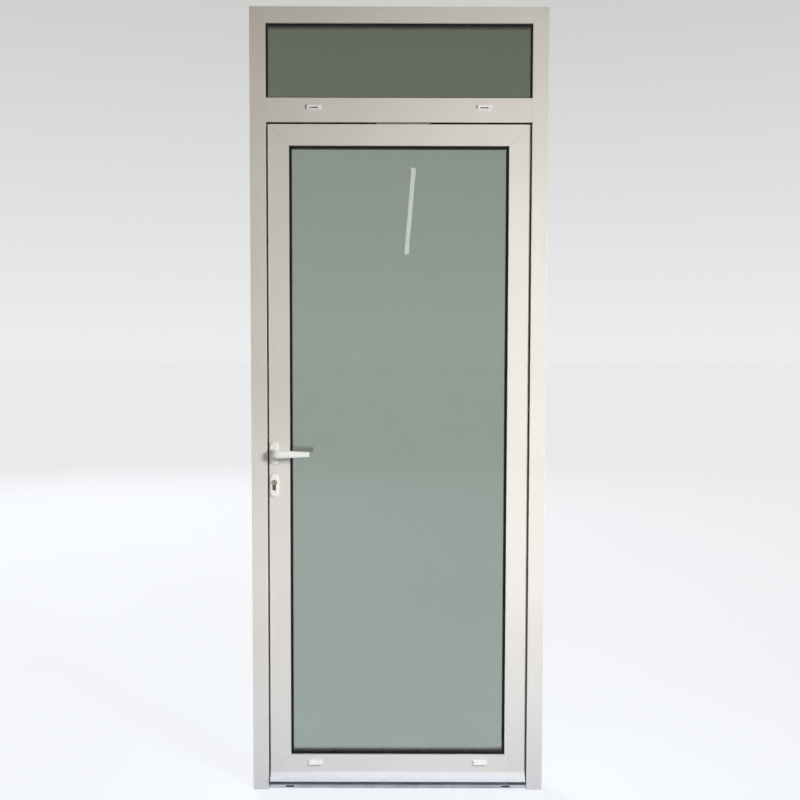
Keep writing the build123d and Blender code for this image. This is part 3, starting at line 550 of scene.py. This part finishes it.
# domed cover caps over the wall fixings, in the rebates of the jambs
coverCaps = {
    "rebate": 0.422,
    "depth": 0.0222,
    "heights": (0.200, 0.795, 1.390, 1.950),
    "radius": 0.0068,
    "rise": 0.0014,
    "sunk": 0.0002,
    "steps": 28,
    "dome": ((1.0, 0.3), (0.93, 0.62), (0.72, 0.86), (0.4, 0.97)),     # shares of radius and rise
}
for side, direction in (("lock", 1), ("hinge", -1)):
    mesh = bmesh.new()
    outward = Vector((direction, 0, 0))
    rings = [([coverCaps["radius"]] * coverCaps["steps"], -coverCaps["sunk"])]
    for reach, lift in coverCaps["dome"]:
        ring = [coverCaps["radius"] * reach] * coverCaps["steps"]
        rings.append((ring, coverCaps["rise"] * lift))
    for z in coverCaps["heights"]:
        spot = Vector((-direction * coverCaps["rebate"], coverCaps["depth"], z))
        rim = addRings(mesh, spot, outward, rings)
        top = mesh.verts.new(spot + outward * coverCaps["rise"])
        for step in range(len(rim)):
            mesh.faces.new((rim[step], rim[(step + 1) % len(rim)], top))
    finishPiece(mesh, f"{side}_jamb_cover_caps", "whiteMoulding", "frame")
print("screws and caps set")

# hairline of sealer in the mitres of the frame and the leaf, (x, z) from the inner corner outwards
mitreLines = {
    "width": 0.0005,
    "proud": 0.00004,
    "thick": 0.0005,
    "trim": 0.0012,
    "frame": {"face": -0.035, "lines": [((0.402, 2.352), (0.450, 2.400))]},
    "leaf": {
        "face": -0.023,
        "lines": [((0.334, 1.991), (0.398, 2.055)), ((0.334, 0.106), (0.398, 0.042))],
    },
}
deep = Vector((0, mitreLines["thick"], 0))
for body in ("frame", "leaf"):
    mesh = bmesh.new()
    near = mitreLines[body]["face"] - mitreLines["proud"]
    for inner, outer in mitreLines[body]["lines"]:
        for side in (-1, 1):
            start = Vector((side * inner[0], near, inner[1]))
            end = Vector((side * outer[0], near, outer[1]))
            along = (end - start).normalized()
            across = along.cross(Vector((0, 1, 0))) * mitreLines["width"] / 2
            start += along * mitreLines["trim"]
            end -= along * mitreLines["trim"]
            corners = (start - across, start + across, end + across, end - across)
            upper = [mesh.verts.new(corner) for corner in corners]
            lower = [mesh.verts.new(corner + deep) for corner in corners]
            addPrism(mesh, upper, lower)
    finishPiece(mesh, f"{body}_mitre_lines", "jointSealer", body, smooth=False)
print("mitre lines set")

# brush pile under the leaf, tuft by tuft
brushPile = {
    "pitch": 0.0021,
    "rows": 3,
    "endGap": 0.001,
    "stagger": 0.25,             # shift of every second row, in pitches
    "thick": 0.0009,
    "foot": (1.25, 1.9),         # thickness at the foot and at the tip, across and in depth
    "tip": (1.0, 1.4),
    "wander": 0.0004,
    "lean": 0.0004,
    "uneven": 0.0003,
    "seed": 7,
}
low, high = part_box("bottom_brush_seal")
draw = random.Random(brushPile["seed"])
half = brushPile["thick"] / 2
count = int((high.x - low.x - 2 * brushPile["endGap"]) / brushPile["pitch"])


def tuftEnd(mesh, centre, widening):
    x = half * widening[0]
    y = half * widening[1]
    corners = ((-x, -y, 0), (x, -y, 0), (x, y, 0), (-x, y, 0))
    return [mesh.verts.new(centre + Vector(corner)) for corner in corners]


mesh = bmesh.new()
for row in range(brushPile["rows"]):
    y = low.y + (high.y - low.y) * (row + 0.5) / brushPile["rows"]
    for tuft in range(count):
        steps = tuft + 0.5 + brushPile["stagger"] * (row % 2)
        x = low.x + brushPile["endGap"] + brushPile["pitch"] * steps
        foot = Vector((x, y + draw.uniform(-brushPile["wander"], brushPile["wander"]), high.z))
        leanX = draw.uniform(-1, 1) * brushPile["lean"]
        leanY = draw.uniform(-1, 1) * brushPile["lean"]
        tip = foot + Vector((leanX, leanY, 0))
        tip.z = low.z + draw.uniform(0, brushPile["uneven"])
        upper = tuftEnd(mesh, foot, brushPile["foot"])
        lower = tuftEnd(mesh, tip, brushPile["tip"])
        addPrism(mesh, upper, lower)
brush = finishPiece(mesh, "brush_pile", "blackPolyamide", "leaf", smooth=False)
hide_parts("bottom_brush_seal")
print("brush pile set:", count * brushPile["rows"], "tufts")


# rays that look at the backdrop: straight, by reflection or through glass
def lookingRays(tree):
    path = tree.nodes.new("ShaderNodeLightPath")
    seen = path.outputs["Is Camera Ray"]
    for kind in ("Is Glossy Ray", "Is Transmission Ray"):
        seen = combine(tree, "MAXIMUM", seen, path.outputs[kind])
    return seen


# floor, pale and plain: part of what is seen is its own paleness, the rest takes the shadows
floorLook = {
    "half": 70.0,
    "cells": 8,
    "drop": 0.0003,              # just under the threshold
    "pale": tone(208, 218, 237),
    "shade": tone(202, 212, 231),
    "mottleScale": 1.4, "mottleSpan": (0.35, 0.7),
    "rough": 0.7,
    "seen": (1.045, 1.055, 1.072, 1.0),
    "own": 0.74,
}
cells = floorLook["cells"]
mesh = bmesh.new()
bmesh.ops.create_grid(mesh, x_segments=cells, y_segments=cells, size=floorLook["half"])
floorData = bpy.data.meshes.new("floor")
mesh.to_mesh(floorData)
mesh.free()
floor = bpy.data.objects.new("floor", floorData)
floor.location = (0, 0, -floorLook["drop"])
scene.collection.objects.link(floor)
material, tree, shader = startMaterial("paleFloor")
mottle = spread(tree, noiseField(tree, floorLook["mottleScale"], 5.0), floorLook["mottleSpan"])
mottle = mixTones(tree, mottle, floorLook["pale"], floorLook["shade"])
tree.links.new(mottle, shader.inputs["Base Color"])
shader.inputs["Roughness"].default_value = floorLook["rough"]
pale = tree.nodes.new("ShaderNodeEmission")
pale.inputs["Color"].default_value = floorLook["seen"]
share = spread(tree, lookingRays(tree), (0.0, 1.0), (0.0, floorLook["own"]))
mixShaders(tree, share, shader.outputs["BSDF"], pale.outputs["Emission"])
floorData.materials.append(material)
print("floor laid")

# sky dome: soft light on the door, pale where it is seen and a little greyer higher up
dome = {
    "light": (1.0, 0.83, 0.53, 1.0),
    "strength": 0.185,
    "low": (0.84, 0.845, 0.85, 1.0),
    "high": (0.62, 0.62, 0.61, 1.0),
    "highAt": 0.32,              # sine of the height angle
}
world = bpy.data.worlds.new("studio")
scene.world = world
world.use_nodes = True
tree = world.node_tree
tree.nodes.clear()
tree.nodes.new("ShaderNodeOutputWorld")
lighting = tree.nodes.new("ShaderNodeBackground")
lighting.inputs["Color"].default_value = dome["light"]
lighting.inputs["Strength"].default_value = dome["strength"]
shown = tree.nodes.new("ShaderNodeBackground")
skyward = tree.nodes.new("ShaderNodeTexCoord").outputs["Generated"]
rising = spread(tree, heightOf(tree, skyward), (0.0, dome["highAt"]))
tree.links.new(mixTones(tree, rising, dome["low"], dome["high"]), shown.inputs["Color"])
seen = lookingRays(tree)
mixShaders(tree, seen, lighting.outputs["Background"], shown.outputs["Background"])
print("dome set")

# lamps: key from the right, low fill, soft fill behind, slim tube that shows in the glass
lamps = {
    "keyLamp": {
        "place": (1.48, -2.0, 1.80), "aim": (0.15, 0.0, 1.0), "size": (0.6, 0.6), "power": 24.5,
        "colour": (0.93, 0.966, 1.0), "beam": 110, "spin": 0.0, "mirrored": False,
    },
    "slopeFill": {
        "place": (-0.1, -1.2, 1.25), "aim": (-0.05, 0.0, 0.04), "size": (1.2, 0.3), "power": 2.6,
        "colour": (0.80, 0.90, 1.0), "beam": 90, "spin": 0.0, "mirrored": False,
    },
    "backFill": {
        "place": (-4.5, 8.0, 5.5), "aim": (0.0, 0.0, 1.1), "size": (4.0, 4.0), "power": 350,
        "colour": (1.0, 0.99, 0.97), "beam": 110, "spin": 0.0, "mirrored": False,
    },
    "tubeLamp": {
        "place": (0.076, -4.0, 2.321), "aim": (0.076, 0.0, 2.321), "size": (0.030, 0.60),
        "power": 0.35, "colour": (1.0, 1.0, 1.0), "beam": 180, "spin": -4.6, "mirrored": True,
    },
}
for name, look in lamps.items():
    data = bpy.data.lights.new(name, "AREA")
    data.shape = "RECTANGLE"
    data.size, data.size_y = look["size"]
    data.energy = look["power"]
    data.color = look["colour"]
    data.spread = math.radians(look["beam"])
    lamp = bpy.data.objects.new(name, data)
    scene.collection.objects.link(lamp)
    lamp.visible_camera = False
    lamp.visible_transmission = False
    lamp.visible_glossy = look["mirrored"]     # a plain square of light in the glass looks wrong
    away = Vector(look["place"]) - Vector(look["aim"])
    facing = away.to_track_quat("Z", "Y").to_matrix().to_4x4()
    facing = facing @ Matrix.Rotation(math.radians(look["spin"]), 4, "Z")
    lamp.matrix_world = Matrix.Translation(look["place"]) @ facing
print("lamps lit:", len(lamps))
